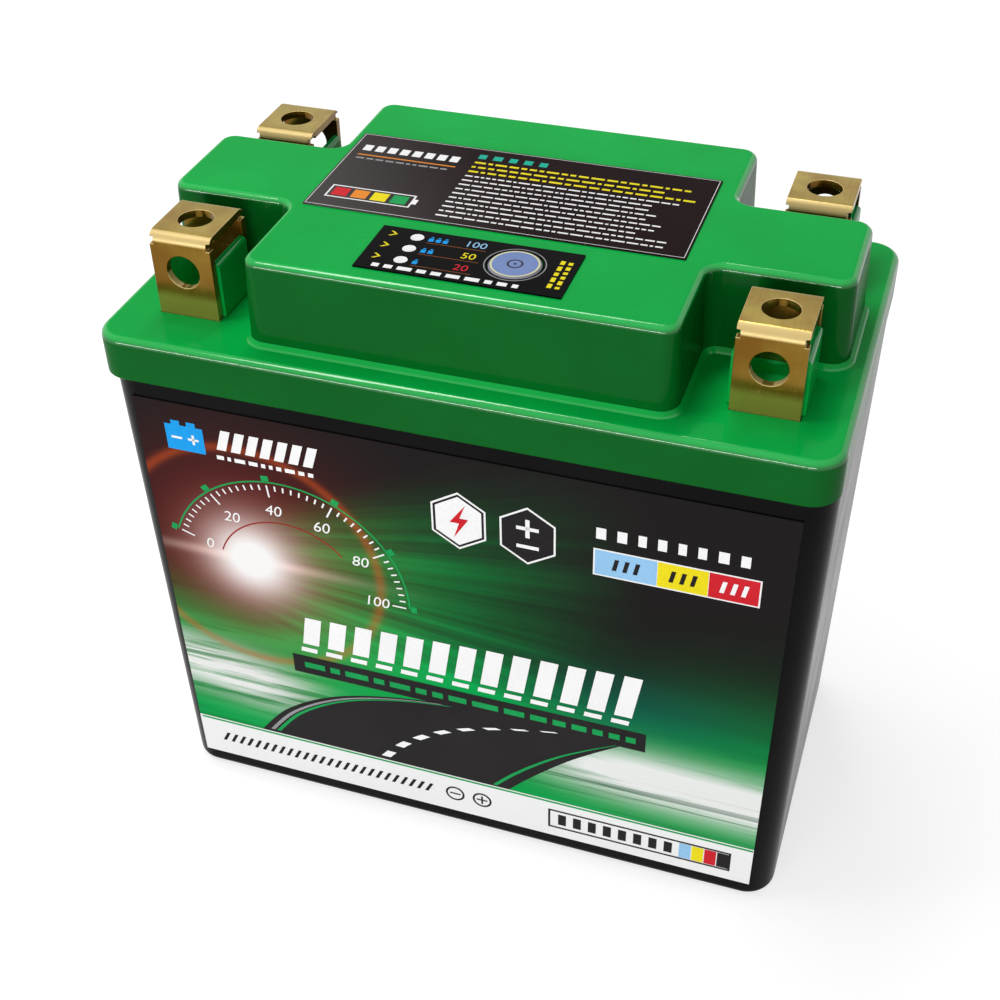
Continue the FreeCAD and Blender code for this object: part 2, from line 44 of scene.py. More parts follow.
# sums on numbers or sockets inside one node tree
class Sums:
    def __init__(self, tree):
        self.tree = tree

    def put(self, kind, **settings):
        node = self.tree.nodes.new(kind)
        for name, value in settings.items():
            setattr(node, name, value)
        return node

    def feed(self, socket, value):
        if isinstance(value, bpy.types.NodeSocket):
            self.tree.links.new(value, socket)
        else:
            socket.default_value = value

    def math(self, operation, a, b=0.0, c=0.0, clamp=False):
        node = self.put("ShaderNodeMath", operation=operation, use_clamp=clamp)
        for socket, value in zip(node.inputs, (a, b, c)):
            self.feed(socket, value)
        return node.outputs[0]

    def add(self, a, b):
        return self.math("ADD", a, b)

    def less(self, a, b):
        return self.math("SUBTRACT", a, b)

    def times(self, a, b):
        return self.math("MULTIPLY", a, b)

    def top(self, a, b):
        return self.math("MAXIMUM", a, b)

    def low(self, a, b):
        return self.math("MINIMUM", a, b)

    def size(self, a):
        return self.math("ABSOLUTE", a)

    def above(self, a, b):
        return self.math("GREATER_THAN", a, b)

    def below(self, a, b):
        return self.math("LESS_THAN", a, b)

    def distance(self, x, y):
        return self.math("SQRT", self.add(self.times(x, x), self.times(y, y)))

    def ramp(self, value, start, end, low=0.0, high=1.0):
        node = self.put("ShaderNodeMapRange", interpolation_type="SMOOTHSTEP")
        names = ("Value", "From Min", "From Max", "To Min", "To Max")
        for name, item in zip(names, (value, start, end, low, high)):
            self.feed(node.inputs[name], item)
        return node.outputs["Result"]

    def mix(self, share, a, b):
        node = self.put("ShaderNodeMix", data_type="RGBA")
        self.feed(node.inputs["Factor"], share)
        self.feed(node.inputs[6], a)
        self.feed(node.inputs[7], b)
        return node.outputs[2]

    def place(self, kind="Object"):
        return self.put("ShaderNodeTexCoord").outputs[kind]

    def parts(self, vector):
        node = self.put("ShaderNodeSeparateXYZ")
        self.feed(node.inputs[0], vector)
        return list(node.outputs)

    def paint(self, tint, rough):
        self.feed(self.shader.inputs["Base Color"], tint)
        self.feed(self.shader.inputs["Roughness"], rough)

    def noise(self, vector, scale, detail=2.0, roughness=0.5, stretch=None):
        if stretch is not None:
            mapping = self.put("ShaderNodeMapping")
            self.feed(mapping.inputs["Vector"], vector)
            mapping.inputs["Scale"].default_value = stretch
            vector = mapping.outputs[0]
        node = self.put("ShaderNodeTexNoise")
        self.feed(node.inputs["Vector"], vector)
        node.inputs["Scale"].default_value = scale
        node.inputs["Detail"].default_value = detail
        node.inputs["Roughness"].default_value = roughness
        return node.outputs["Fac"]


def colour(r, g, b):
    return (r, g, b, 1.0)


def added(name, data):
    item = bpy.data.objects.new(name, data)
    bpy.context.scene.collection.objects.link(item)
    return item


def material(name, **shader):
    made = bpy.data.materials.new(name)
    made.use_nodes = True
    tree = made.node_tree
    sums = Sums(tree)
    sums.shader = tree.nodes["Principled BSDF"]
    for socket, value in shader.items():
        sums.shader.inputs[socket.replace("_", " ")].default_value = value
    sums.material = made
    return sums


def bumped(sums, height, distance, strength=1.0):
    bump = sums.put("ShaderNodeBump")
    bump.inputs["Distance"].default_value = distance
    bump.inputs["Strength"].default_value = strength
    sums.feed(bump.inputs["Height"], height)
    sums.tree.links.new(bump.outputs[0], sums.shader.inputs["Normal"])


def group(name, inputs, outputs):
    tree = bpy.data.node_groups.new(name, "ShaderNodeTree")
    for label, kind, value in inputs:
        socket = tree.interface.new_socket(label, in_out="INPUT", socket_type=kind)
        if value is not None:
            socket.default_value = value
    for label, kind in outputs:
        tree.interface.new_socket(label, in_out="OUTPUT", socket_type=kind)
    sums = Sums(tree)
    sums.entry = sums.put("NodeGroupInput").outputs
    sums.exit = sums.put("NodeGroupOutput").inputs
    return sums


def use(sums, made, **values):
    node = sums.put("ShaderNodeGroup", node_tree=made.tree)
    for name, value in values.items():
        sums.feed(node.inputs[name], value)
    return node.outputs


# moulded grain, handling marks and fine scratches, shared by the plastics and the strip metal
grain = group("mouldedGrain", [("Vector", "NodeSocketVector", None), ("Size", "NodeSocketFloat", 900.0)],
              [("Height", "NodeSocketFloat"), ("Cloud", "NodeSocketFloat")])
fine = grain.put("ShaderNodeTexNoise")
grain.feed(fine.inputs["Vector"], grain.entry["Vector"])
grain.feed(fine.inputs["Scale"], grain.entry["Size"])
fine.inputs["Detail"].default_value = 3.0
grain.feed(grain.exit["Height"], fine.outputs["Fac"])
grain.feed(grain.exit["Cloud"], grain.noise(grain.entry["Vector"], 38.0, 4.0, 0.6))

# how far a surface faces up, used for painted light and shade: roofs get a bright, saturated lit colour,
# upright faces a deep painted-shade colour
slopes = {"roof": (0.12, 0.85), "bendRises": (0.06, 0.25), "bendFalls": (0.93, 0.985)}
facing = group("facingUp", [], [("Mask", "NodeSocketFloat")])
upward = facing.parts(facing.place("Normal"))[2]
facing.feed(facing.exit["Mask"], facing.ramp(upward, *slopes["roof"]))

# the round edges between a wall and a roof
turned = group("bendBand", [], [("Mask", "NodeSocketFloat")])
tilt = turned.parts(turned.place("Normal"))[2]
falling = turned.ramp(tilt, *slopes["bendFalls"], 1.0, 0.0)
turned.feed(turned.exit["Mask"], turned.times(turned.ramp(tilt, *slopes["bendRises"]), falling))

scuffs = group("fineScuffs", [("Vector", "NodeSocketVector", None), ("Amount", "NodeSocketFloat", 0.5)],
               [("Mask", "NodeSocketFloat")])
longMarks = scuffs.noise(scuffs.entry["Vector"], 130.0, 2.0, 0.5, (1.0, 9.0, 9.0))
crossMarks = scuffs.noise(scuffs.entry["Vector"], 150.0, 2.0, 0.5, (8.0, 1.2, 8.0))
both = scuffs.times(scuffs.ramp(longMarks, 0.56, 0.74), scuffs.ramp(crossMarks, 0.45, 0.8, 0.4, 1.0))
scuffs.feed(scuffs.exit["Mask"], scuffs.times(both, scuffs.entry["Amount"]))
print("stage: helpers and shared groups")


# zones of the cover in millimetres, and how far each one is tinted or coated
coverZones = {"middleY": 2.0, "seatX": 45.6, "seatY": 14.2, "seatZ": 113.7, "seatLitShare": 0.8,
              "footZ": 115.1, "footHalf": 1.3, "footShine": 0.08, "rimShine": 0.72, "plainCoat": 0.12,
              "pocketX": 52.3, "pocketHalf": 5.4, "pocketPaintedLight": (0.012, 0.72, 0.16)}


def coverTint(s, vector, cloud, roofTint, walls):
    # painted light: the nut seats between the bracket legs take most of the roof's brighter, lit green
    # instead of the painted shade of upright faces
    x, y, z = s.parts(vector)
    across = s.size(x)
    along = s.size(s.less(y, coverZones["middleY"] * mm))
    outside = s.times(s.above(across, coverZones["seatX"] * mm),
                      s.above(along, coverZones["seatY"] * mm))
    seat = s.times(outside, s.above(z, coverZones["seatZ"] * mm))
    paintedLitShare = s.top(use(s, facing)["Mask"], s.times(seat, coverZones["seatLitShare"]))
    # painted shade: upright faces take the two darker greens, faces that look up keep the lit roof colour
    tint = s.mix(paintedLitShare, s.mix(cloud, colour(*walls[0]), colour(*walls[1])), roofTint)
    # rounded rims shine most, the slope at the foot of the block hardly does
    fromFoot = s.size(s.less(z, coverZones["footZ"] * mm))
    offFoot = s.above(fromFoot, coverZones["footHalf"] * mm)
    shine = s.add(coverZones["footShine"], s.times(offFoot, coverZones["rimShine"]))
    rim = s.times(use(s, turned)["Mask"], shine)
    s.feed(s.shader.inputs["Coat Weight"], s.add(coverZones["plainCoat"], rim))
    # painted light: inside the nut pockets the cover takes a much brighter green, as if lit
    fromPocket = s.size(s.less(across, coverZones["pocketX"] * mm))
    pocket = s.below(fromPocket, coverZones["pocketHalf"] * mm)
    return s.mix(s.times(seat, pocket), tint, colour(*coverZones["pocketPaintedLight"]))


def plasticFinish(name, base, shade, roughness, grainSize, grainDepth, walls=None, **shader):
    s = material(name, **shader)
    vector = s.place()
    g = use(s, grain, Vector=vector, Size=grainSize)
    marks = use(s, scuffs, Vector=vector, Amount=0.5)["Mask"]
    cloud = s.ramp(g["Cloud"], 0.3, 0.75)
    tint = s.mix(cloud, colour(*base), colour(*shade))
    if walls:
        tint = coverTint(s, vector, cloud, tint, walls)
    rough = s.add(s.ramp(g["Cloud"], 0.2, 0.8, roughness * 0.82, roughness * 1.2), s.times(marks, 0.12))
    s.paint(tint, rough)
    bumped(s, s.less(g["Height"], s.times(marks, 0.4)), grainDepth * mm)
    return s.material


shells = {
    "coverGreen": {"base": (0.002, 0.400, 0.060), "shade": (0.003, 0.450, 0.072), "roughness": 0.26,
                   "grainSize": 420.0, "grainDepth": 0.04,
                   # the two darker greens below are painted shade, given to the cover's upright faces
                   "walls": ((0.0012, 0.112, 0.0125), (0.0018, 0.132, 0.016)),
                   "Specular_IOR_Level": 0.01, "Coat_Roughness": 0.06},
    "caseBlack": {"base": (0.0030, 0.0027, 0.0029), "shade": (0.0048, 0.0044, 0.0047), "roughness": 0.25,
                  "grainSize": 900.0, "grainDepth": 0.02, "Specular_IOR_Level": 0.05},
}
coverGreen, caseBlack = [plasticFinish(name, **values) for name, values in shells.items()]

# strip metal: heights in millimetres, and how far each zone is tinted
metalZones = {"footZ": (116.6, 118.8), "footReflectionShare": 0.85, "innerY": 13.0, "outerY": 27.0, "innerShare": 0.45,
              "roofStain": 0.3, "legStain": 0.55, "bendHighlightShare": 0.85, "bendPlain": 0.45, "bendRough": 0.16}


def metalFinish(name, clean, worn, dark, bendHighlightTint, roughness, metallic):
    s = material(name, Specular_IOR_Level=0.15)
    vector = s.place()
    y, z = s.parts(vector)[1:]
    g = use(s, grain, Vector=vector, Size=260.0)
    rolled = s.noise(vector, 90.0, 2.0, 0.5, (22.0, 1.2, 1.2))
    blotch = s.noise(vector, 130.0, 3.0, 0.6)
    marks = use(s, scuffs, Vector=vector, Amount=1.0)["Mask"]
    stain = s.ramp(s.noise(vector, 85.0, 2.0, 0.5), 0.42, 0.62)
    # faces that look up: the lit copy of the brass, painted light, darker towards the middle of the battery
    rubbedMix = s.ramp(s.add(s.times(rolled, 0.25), blotch), 0.45, 0.85)
    lit = s.mix(rubbedMix, colour(*clean), colour(*worn))
    inwards = s.ramp(s.size(y), metalZones["innerY"] * mm, metalZones["outerY"] * mm,
                     metalZones["innerShare"], 0.0)
    darkeningShare = s.top(inwards, s.times(stain, metalZones["roofStain"]))
    lit = s.mix(darkeningShare, lit, colour(*[0.6 * w for w in worn]))
    # upright legs: the shaded copy of the brass, painted shade, with stains, and a paler, cleaner foot that
    # is a painted reflection of the green cover
    legMix = s.ramp(s.add(s.times(rolled, 0.2), blotch), 0.4, 0.8)
    shaded = s.mix(legMix, colour(*dark), colour(*[0.65 * d + 0.35 * w for d, w in zip(dark, worn)]))
    stained = colour(dark[0] * 0.80, dark[1] * 0.58, dark[2] * 0.4)
    shaded = s.mix(s.times(stain, metalZones["legStain"]), shaded, stained)
    footLow, footHigh = metalZones["footZ"]
    footReflection = s.ramp(z, footLow * mm, footHigh * mm, metalZones["footReflectionShare"], 0.0)
    shaded = s.mix(footReflection, shaded, colour(*clean))
    # the bend between them is pale and duller, a painted highlight
    bend = use(s, turned)["Mask"]
    # painted light and shade: faces that look up take the lit copy, upright faces the shaded copy
    tint = s.mix(use(s, facing)["Mask"], shaded, lit)
    # painted highlight: the bend band takes the pale bend colour
    tint = s.mix(s.times(bend, metalZones["bendHighlightShare"]), tint, colour(*bendHighlightTint))
    s.feed(s.shader.inputs["Metallic"], s.less(metallic, s.times(bend, metalZones["bendPlain"])))
    rubbed = s.add(s.ramp(rolled, 0.3, 0.7, roughness * 0.8, roughness * 1.25), s.times(marks, 0.15))
    s.paint(tint, s.add(rubbed, s.times(bend, metalZones["bendRough"])))
    bumped(s, s.add(s.times(rolled, 0.25), s.times(g["Height"], 0.4)), 0.006 * mm)
    return s.material


# per metal: clean and worn colour the faces that look up (painted light), dark is painted shade for upright
# faces, and the bend colour is a painted highlight
metals = {
    "terminalBrass": {"clean": (0.46, 0.350, 0.080), "worn": (0.33, 0.205, 0.04),
                      "dark": (0.20, 0.108, 0.011), "bendHighlightTint": (0.68, 0.51, 0.22),
                      "roughness": 0.17, "metallic": 0.66},
    "barCopper": {"clean": (0.85, 0.47, 0.32), "worn": (0.78, 0.40, 0.26), "dark": (0.55, 0.25, 0.15),
                  "bendHighlightTint": (0.88, 0.52, 0.36), "roughness": 0.3, "metallic": 1.0},
}
terminalBrass, barCopper = [metalFinish(name, **values) for name, values in metals.items()]


def boardFinish():
    # solder mask with lighter tracks under it
    s = material("circuitBoard", Coat_Weight=0.4, Coat_Roughness=0.15)
    vector = s.place()
    cells = s.put("ShaderNodeTexBrick", offset=0.5)
    s.feed(cells.inputs["Vector"], vector)
    cells.inputs["Scale"].default_value = 240.0
    cells.inputs["Mortar Size"].default_value = 0.03
    tracks = s.ramp(cells.outputs["Fac"], 0.2, 0.8)
    mottled = s.mix(s.noise(vector, 300.0), colour(0.004, 0.055, 0.022), colour(0.007, 0.075, 0.03))
    s.paint(s.mix(tracks, mottled, colour(0.012, 0.13, 0.05)),
            s.ramp(s.noise(vector, 90.0), 0.3, 0.7, 0.35, 0.5))
    bumped(s, tracks, 0.03 * mm)
    return s.material


def foamFinish():
    s = material("cellFoam")
    vector = s.place()
    pores = s.put("ShaderNodeTexVoronoi")
    s.feed(pores.inputs["Vector"], vector)
    pores.inputs["Scale"].default_value = 1400.0
    opened = s.ramp(pores.outputs["Distance"], 0.1, 0.5)
    tint = s.mix(opened, colour(0.02, 0.02, 0.022), colour(0.075, 0.075, 0.08))
    s.paint(tint, s.ramp(opened, 0.0, 1.0, 0.95, 0.8))
    bumped(s, opened, 0.3 * mm)
    return s.material


def lensFinish():
    # frosted white lamp windows
    s = material("lampLens", Coat_Weight=0.5, Coat_Roughness=0.08)
    vector = s.place()
    cloud = s.noise(vector, 700.0, 3.0)
    frosted = s.mix(s.ramp(cloud, 0.3, 0.7), colour(0.90, 0.91, 0.90), colour(0.97, 0.98, 0.97))
    s.paint(frosted, s.ramp(cloud, 0.3, 0.7, 0.3, 0.42))
    bumped(s, cloud, 0.03 * mm)
    return s.material


# the plain inner plastics: two colours, roughness, grain size and grain depth in millimetres
plastics = {
    "seal": ((0.03, 0.03, 0.03), (0.045, 0.045, 0.045), 0.6, 700.0, 0.05),
    "switch_plastic": ((0.03, 0.03, 0.032), (0.04, 0.04, 0.043), 0.45, 1200.0, 0.02),
    "board_parts": ((0.014, 0.014, 0.016), (0.03, 0.028, 0.026), 0.4, 1500.0, 0.02),
    "tray_plastic": ((0.55, 0.54, 0.50), (0.62, 0.61, 0.58), 0.5, 500.0, 0.04),
    "cell_can": ((0.05, 0.14, 0.33), (0.06, 0.17, 0.38), 0.35, 600.0, 0.02),
    "separator_card": ((0.42, 0.36, 0.26), (0.50, 0.44, 0.33), 0.85, 1400.0, 0.06),
    "lead_cover": ((0.012, 0.012, 0.013), (0.02, 0.02, 0.021), 0.45, 1300.0, 0.02),
}
finishes = {slot: plasticFinish(slot, *values) for slot, values in plastics.items()}
finishes["bar_copper"] = barCopper
finishes["circuit_board"] = boardFinish()
finishes["foam"] = foamFinish()
finishes["lamp_lens"] = lensFinish()
nodeFinish = {
    "seal": ["cover_seal"],
    "switch_plastic": ["switch_body"],
    "board_parts": ["indicator_parts", "balance_parts"],
    "tray_plastic": ["cell_tray", "cell_clamp", "board_pillars"],
    "cell_can": ["cell_1", "cell_2", "cell_3", "cell_4"],
    "separator_card": ["cell_separators"],
    "foam": ["foam_right", "foam_left"],
    "lead_cover": ["indicator_lead"],
    "bar_copper": ["cell_link_1", "cell_link_2", "cell_link_3", "positive_bar", "negative_bar",
                   "positive_strap", "negative_strap"],
    "circuit_board": ["indicator_board", "balance_board"],
    "lamp_lens": ["led_full", "led_medium", "led_low"],
}


def dress(node, finish):
    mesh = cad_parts[node].data
    mesh.materials.clear()
    mesh.materials.append(finish)


for slot, nodes in nodeFinish.items():
    for node in nodes:
        dress(node, finishes[slot])
print("stage: finishes")


# cover, case and brackets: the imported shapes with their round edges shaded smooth
edges = {"mergeWithin": 1e-6, "flatWithin": 0.2, "shellAngle": 35.0, "bracketAngle": 30.0,
         "bracketBevel": 0.12}


def smoothCopy(node, name, finish, angle, bevel=0.0):
    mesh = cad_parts[node].data.copy()
    mesh.name = name
    shape = bmesh.new()
    shape.from_mesh(mesh)
    bmesh.ops.remove_doubles(shape, verts=shape.verts, dist=edges["mergeWithin"])
    flat = math.radians(edges["flatWithin"])
    bmesh.ops.dissolve_limit(shape, angle_limit=flat, verts=shape.verts, edges=shape.edges)
    for face in shape.faces:
        face.smooth = True
    for edge in shape.edges:
        edge.smooth = edge.calc_face_angle(0.0) < math.radians(angle)
    shape.to_mesh(mesh)
    shape.free()
    mesh.materials.clear()
    mesh.materials.append(finish)
    piece = added(name, mesh)
    if bevel:
        soft = piece.modifiers.new("softEdges", "BEVEL")
        soft.width = bevel
        soft.segments = 2
        soft.limit_method = "ANGLE"
        soft.angle_limit = math.radians(angle)
        soft.harden_normals = True
    weight = piece.modifiers.new("evenShade", "WEIGHTED_NORMAL")
    weight.keep_sharp = True
    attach(piece, "battery")
    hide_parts(node)


smoothCopy("cover", "coverShell", coverGreen, edges["shellAngle"])
smoothCopy("case", "caseShell", caseBlack, edges["shellAngle"])
for place in ("front_right", "front_left", "rear_right", "rear_left"):
    smoothCopy("terminal_" + place, "bracket_" + place, terminalBrass,
               edges["bracketAngle"], edges["bracketBevel"] * mm)
print("stage: cover, case and brackets")


# repeats made with Geometry Nodes: word-like dashes, dial ticks, slanted bars
def growGroup(name, inputs):
    tree = bpy.data.node_groups.new(name, "GeometryNodeTree")
    tree.interface.new_socket("Geometry", in_out="INPUT", socket_type="NodeSocketGeometry")
    for label, kind in inputs:
        tree.interface.new_socket(label, in_out="INPUT", socket_type="NodeSocket" + kind)
    tree.interface.new_socket("Geometry", in_out="OUTPUT", socket_type="NodeSocketGeometry")
    s = Sums(tree)
    s.entry = s.put("NodeGroupInput").outputs
    s.exit = s.put("NodeGroupOutput").inputs
    return s


def vectorOf(s, x=0.0, y=0.0, z=0.0):
    node = s.put("ShaderNodeCombineXYZ")
    for socket, value in zip(node.inputs, (x, y, z)):
        s.feed(socket, value)
    return node.outputs[0]


def pointLine(s, count):
    line = s.put("GeometryNodeMeshLine", mode="OFFSET", count_mode="TOTAL")
    s.feed(line.inputs["Count"], count)
    line.inputs["Offset"].default_value = (0, 0, 0)
    return line.outputs["Mesh"], s.put("GeometryNodeInputIndex").outputs[0]


def placed(s, geometry, position):
    node = s.put("GeometryNodeSetPosition")
    s.feed(node.inputs["Geometry"], geometry)
    s.feed(node.inputs["Position"], position)
    return node.outputs[0]


def stamped(s, points, width, height, turn=0.0, chosen=True):
    leaf = s.put("GeometryNodeMeshGrid")
    leaf.inputs["Vertices X"].default_value = 2
    leaf.inputs["Vertices Y"].default_value = 2
    stamp = s.put("GeometryNodeInstanceOnPoints")
    angle = s.put("FunctionNodeEulerToRotation")
    s.feed(angle.inputs[0], vectorOf(s, z=turn))
    s.feed(stamp.inputs["Points"], points)
    s.feed(stamp.inputs["Selection"], chosen)
    s.feed(stamp.inputs["Instance"], leaf.outputs["Mesh"])
    s.feed(stamp.inputs["Rotation"], angle.outputs[0])
    s.feed(stamp.inputs["Scale"], vectorOf(s, width, height, 1.0))
    real = s.put("GeometryNodeRealizeInstances")
    s.feed(real.inputs[0], stamp.outputs[0])
    return real.outputs[0]


def inked(s, geometry):
    node = s.put("GeometryNodeSetMaterial")
    s.feed(node.inputs["Geometry"], geometry)
    s.feed(node.inputs["Material"], s.entry["Ink"])
    s.feed(s.exit[0], node.outputs[0])


def randomBetween(s, low, high, number, seed):
    node = s.put("FunctionNodeRandomValue", data_type="FLOAT")
    for name, value in (("Min", low), ("Max", high)):
        s.feed([i for i in node.inputs if i.name == name and i.type == "VALUE"][0], value)
    s.feed(node.inputs["ID"], number)
    s.feed(node.inputs["Seed"], seed)
    return [o for o in node.outputs if o.type == "VALUE"][0]


wordSpace = 0.8  # gap between two dashes, as a share of their height
rows = growGroup("dashRows", [("Rows", "Int"), ("Dashes", "Int"), ("Row Gap", "Float"), ("Length", "Float"),
                              ("Height", "Float"), ("Shortest", "Float"), ("Longest", "Float"),
                              ("Ragged", "Float"), ("Seed", "Int"), ("Ink", "Material")])
points, index = pointLine(rows, rows.times(rows.entry["Rows"], rows.entry["Dashes"]))
row = rows.math("FLOOR", rows.math("DIVIDE", rows.add(index, 0.001), rows.entry["Dashes"]))
width = randomBetween(rows, rows.entry["Shortest"], rows.entry["Longest"], index, rows.entry["Seed"])
total = rows.put("GeometryNodeAccumulateField", data_type="FLOAT")
withSpace = rows.add(width, rows.times(rows.entry["Height"], wordSpace))
rows.feed([i for i in total.inputs if i.type == "VALUE"][0], withSpace)
rows.feed(total.inputs["Group ID"], row)
before = [o for o in total.outputs if o.name == "Trailing" and o.type == "VALUE"][0]
endShare = randomBetween(rows, rows.entry["Ragged"], 1.0, row, rows.entry["Seed"])
rowEnd = rows.times(rows.entry["Length"], endShare)
fits = rows.below(rows.add(before, width), rowEnd)
down = rows.times(row, rows.times(rows.entry["Row Gap"], -1.0))
spot = vectorOf(rows, rows.add(before, rows.times(width, 0.5)), down)
inked(rows, stamped(rows, placed(rows, points, spot), width, rows.entry["Height"], 0.0, fits))

dial = growGroup("dialTicks", [("Ticks", "Int"), ("Radius", "Float"), ("Start", "Float"), ("Sweep", "Float"),
                               ("Length", "Float"), ("Long Every", "Int"), ("Long Length", "Float"),
                               ("Width", "Float"), ("Ink", "Material")])
points, index = pointLine(dial, dial.entry["Ticks"])
share = dial.math("DIVIDE", index, dial.less(dial.entry["Ticks"], 1.0))
angle = dial.add(dial.entry["Start"], dial.times(dial.entry["Sweep"], share))
isLong = dial.below(dial.math("MODULO", index, dial.entry["Long Every"]), 0.5)
longer = dial.less(dial.entry["Long Length"], dial.entry["Length"])
reach = dial.add(dial.entry["Length"], dial.times(isLong, longer))
middle = dial.less(dial.entry["Radius"], dial.times(reach, 0.5))
spotX, spotY = [dial.times(middle, dial.math(wave, angle)) for wave in ("COSINE", "SINE")]
spot = vectorOf(dial, spotX, spotY)
inked(dial, stamped(dial, placed(dial, points, spot), reach, dial.entry["Width"], angle))

bars = growGroup("slantBars", [("Bars", "Int"), ("Step", "Float"), ("Width", "Float"), ("Height", "Float"),
                               ("Growth", "Float"), ("Slant", "Float"), ("Ink", "Material")])
points, index = pointLine(bars, bars.entry["Bars"])
tall = bars.add(bars.entry["Height"], bars.times(bars.entry["Growth"], index))
spot = vectorOf(bars, bars.times(bars.entry["Step"], index), bars.times(tall, 0.5))
upright = stamped(bars, placed(bars, points, spot), bars.entry["Width"], tall)
whereX, whereY = bars.parts(bars.put("GeometryNodeInputPosition").outputs[0])[:2]
leaning = vectorOf(bars, bars.add(whereX, bars.times(whereY, bars.entry["Slant"])), whereY)
inked(bars, placed(bars, upright, leaning))


def grown(tree, ink, values):
    holder = added("holder", bpy.data.meshes.new("holder"))
    repeat = holder.modifiers.new("repeat", "NODES")
    repeat.node_group = tree
    for item in tree.interface.items_tree:
        if item.in_out == "INPUT" and item.name in values:
            repeat[item.identifier] = values[item.name]
        if item.in_out == "INPUT" and item.name == "Ink":
            repeat[item.identifier] = ink
    graph = bpy.context.evaluated_depsgraph_get()
    mesh = bpy.data.meshes.new_from_object(holder.evaluated_get(graph), depsgraph=graph)
    bpy.data.objects.remove(holder)
    return mesh


# printing inks
def inkFinish(name, r, g, b):
    s = material(name, Specular_IOR_Level=0.05)
    vector = s.place()
    dots = s.noise(vector, 2600.0, 2.0)
    cloud = s.noise(vector, 60.0, 3.0)
    paler = colour(*[min(1.0, part * 1.12 + 0.004) for part in (r, g, b)])
    tint = s.mix(s.ramp(s.add(dots, cloud), 0.75, 1.3), colour(r, g, b), paler)
    s.paint(tint, s.ramp(cloud, 0.3, 0.7, 0.32, 0.46))
    bumped(s, dots, 0.003 * mm)
    return s.material


inkColours = {
    "white": (0.93, 0.93, 0.93), "dark": (0.016, 0.014, 0.015),
    "red": (0.62, 0.018, 0.028), "yellow": (0.86, 0.72, 0.015), "paleBlue": (0.30, 0.56, 0.83),
    "blue": (0.012, 0.33, 0.80), "green": (0.010, 0.33, 0.085), "orange": (0.80, 0.26, 0.03),
    "grey": (0.30, 0.30, 0.31), "teal": (0.01, 0.42, 0.30), "rust": (0.36, 0.11, 0.03),
    "ember": (0.30, 0.022, 0.016),
}
ink = {name: inkFinish(name + "Ink", *values) for name, values in inkColours.items()}
layerStep = 0.02  # millimetres from one layer of print to the next
unscaled = ("Rows", "Dashes", "Ragged", "Seed", "Ticks", "Start", "Sweep", "Long Every", "Bars", "Slant")


